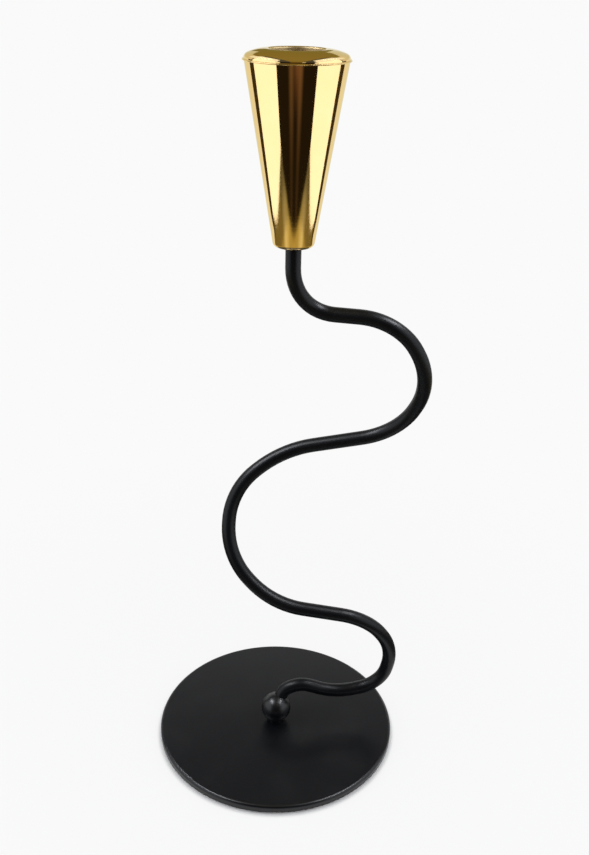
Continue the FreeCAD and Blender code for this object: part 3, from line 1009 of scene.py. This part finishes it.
# %% Studio: covers and gaps
COVER_GAP = mm(5)
PANEL_COVER = (0.01, 0.01, 0.01)
GAP_BACK = Vector((0.57, 0.405, 0))
GAP_DARK = (0.05, 0.034, 0.012)


def make_upright(name, front, back, foot, top, paint):
    """An upright card between two places on the floor."""
    make_card(name, [(front.x, front.y, foot), (back.x, back.y, foot),
                     (back.x, back.y, top), (front.x, front.y, top)], paint)


for name, side in SIDES:
    behind = Vector((side * COVER_GAP, 0, 0))
    make_upright(f"cover_{name}", mirrored(PANEL_FRONT, side) + behind,
                 mirrored(PANEL_BACK, side) + behind, PANEL_FOOT, PANEL_TOP, PANEL_COVER)
    make_upright(f"gap_{name}", mirrored(PANEL_BACK, side), mirrored(GAP_BACK, side),
                 0, PANEL_TOP, GAP_DARK)

# %% [markdown]
# ## Cards for the highlights of the paint and the cap
# Black paint is dark all over but for its highlights, and a round bar shows a lamp as one thin
# line. A small, very bright card high on each side draws that line along the rod. The panels'
# heads carry the bright bands up over the cap's shoulders. A small pale flag close to each side
# of the cap hides the very bright card from it, which would clip its edge to white.

# %% Studio: heads, top lights and flags
PANEL_HEAD = (1.38, 1.44, 1.60)
HEAD_TOP = 0.94
TOP_LIGHT = (25.0, 25.5, 27.0)
TOP_LIGHT_FRONT = Vector((0.34, -0.22, 0))
TOP_LIGHT_BACK = Vector((0.42, 0.13, 0))
TOP_LIGHT_FOOT = 0.57
TOP_LIGHT_TOP = 0.79
FLAG = (1.02, 1.10, 1.27)
FLAG_FRONT = Vector((0.12, -0.14, 0))
FLAG_BACK = Vector((0.12, 0.10, 0))
FLAG_FOOT = 0.40
FLAG_TOP = 0.52

for name, side in SIDES:
    make_upright(f"head_{name}", mirrored(PANEL_FRONT, side), mirrored(PANEL_BACK, side),
                 PANEL_TOP, HEAD_TOP, PANEL_HEAD)
    make_upright(f"top_light_{name}", mirrored(TOP_LIGHT_FRONT, side),
                 mirrored(TOP_LIGHT_BACK, side), TOP_LIGHT_FOOT, TOP_LIGHT_TOP, TOP_LIGHT)
    make_upright(f"flag_{name}", mirrored(FLAG_FRONT, side), mirrored(FLAG_BACK, side),
                 FLAG_FOOT, FLAG_TOP, FLAG)

# %% [markdown]
# ## World
# The world adds soft light from all round. To the camera and in reflections it shows as the
# near white of the photo's background, which puts no more light on the object.

# %% Light: the world
WORLD_SOFT = 0.72
WHITE = (1, 1, 1, 1)
BACKGROUND = (0.955, 0.955, 0.955, 1)


def seen_directly(tree):
    """1 for a ray from the camera, a mirror or glass, and 0 for soft light."""
    path = add(tree, "ShaderNodeLightPath")
    seen = compute(tree, "MAXIMUM", path.outputs["Is Camera Ray"], path.outputs["Is Glossy Ray"])
    return compute(tree, "MAXIMUM", seen, path.outputs["Is Transmission Ray"])


def make_world():
    world = bpy.data.worlds.new("studio")
    world.use_nodes = True
    tree = world.node_tree
    tree.nodes.clear()
    soft = add(tree, "ShaderNodeBackground")
    feed(tree, WORLD_SOFT, soft.inputs["Strength"])
    feed(tree, WHITE, soft.inputs["Color"])
    plain = add(tree, "ShaderNodeBackground")
    feed(tree, BACKGROUND, plain.inputs["Color"])
    chosen = add(tree, "ShaderNodeMixShader")
    feed(tree, seen_directly(tree), chosen.inputs[0])
    feed(tree, soft.outputs[0], chosen.inputs[1])
    feed(tree, plain.outputs[0], chosen.inputs[2])
    result = add(tree, "ShaderNodeOutputWorld")
    feed(tree, chosen.outputs[0], result.inputs["Surface"])
    return world


bpy.context.scene.world = make_world()
print("world:", bpy.context.scene.world.name)

# %% [markdown]
# ## Table
# The table is pale and matt, so that it keeps the soft shadow round the base. Away from the
# object it glows as bright as the background, for the camera and in reflections only, so the
# horizon vanishes. Near the object most of it still glows, and the rest shows the shadow. In a
# narrow ring round the plate hardly any of it glows, which keeps the dark line where the base
# meets the table.

# %% Table: its finish
TABLE_COLOUR = (0.86, 0.86, 0.86, 1)
GLOW_NEAR = 0.88
GLOW_STARTS = 0.075
GLOW_FULL = 0.35
CONTACT_WIDTH = mm(2.6)
CONTACT_GLOW = 0.05


def table_glow(tree):
    """The share of the table that glows, by the distance from the middle of the base."""
    away = add(tree, "ShaderNodeVectorMath", operation="LENGTH")
    feed(tree, add(tree, "ShaderNodeTexCoord").outputs["Object"], away.inputs[0])
    wide = ramp(tree, away.outputs["Value"], GLOW_STARTS, GLOW_FULL, GLOW_NEAR, 1.0)
    contact = ramp(tree, away.outputs["Value"], plate_radius, plate_radius + CONTACT_WIDTH,
                   CONTACT_GLOW, 1.0)
    return compute(tree, "MULTIPLY", wide, contact)


def make_table_material():
    material = bpy.data.materials.new("table")
    material.use_nodes = True
    tree = material.node_tree
    tree.nodes.clear()
    matt = add(tree, "ShaderNodeBsdfDiffuse")
    feed(tree, TABLE_COLOUR, matt.inputs["Color"])
    glow = add(tree, "ShaderNodeEmission")
    feed(tree, BACKGROUND, glow.inputs["Color"])
    chosen = add(tree, "ShaderNodeMixShader")
    glowing = compute(tree, "MULTIPLY", seen_directly(tree), table_glow(tree))
    feed(tree, glowing, chosen.inputs[0])
    feed(tree, matt.outputs[0], chosen.inputs[1])
    feed(tree, glow.outputs[0], chosen.inputs[2])
    result = add(tree, "ShaderNodeOutputMaterial")
    feed(tree, chosen.outputs[0], result.inputs["Surface"])
    return material


table_finish = make_table_material()
print("material:", table_finish.name)

# %% [markdown]
# ## The table top
# One large flat face is enough, because the camera never sees its edges. It lies at the height
# that the felt rests on.

# %% Table: its top
TABLE_HALF = 8.0
TABLE_CORNERS = ((-1, -1), (1, -1), (1, 1), (-1, 1))


def make_table():
    mesh = bpy.data.meshes.new("table")
    corners = [(x * TABLE_HALF, y * TABLE_HALF, 0) for x, y in TABLE_CORNERS]
    mesh.from_pydata(corners, [], [(0, 1, 2, 3)])
    mesh.materials.append(table_finish)
    table = bpy.data.objects.new("table", mesh)
    bpy.context.scene.collection.objects.link(table)
    print("table:", 2 * TABLE_HALF, "metres across")


make_table()

# %% [markdown]
# ## Colours as they are written
# Blender can bend bright colours in the way that a film does. For a product photo on white that
# would grey the background and dull the brass, so the plain view is set.

# %% View
bpy.context.scene.view_settings.view_transform = "Standard"
print("view:", bpy.context.scene.view_settings.view_transform)
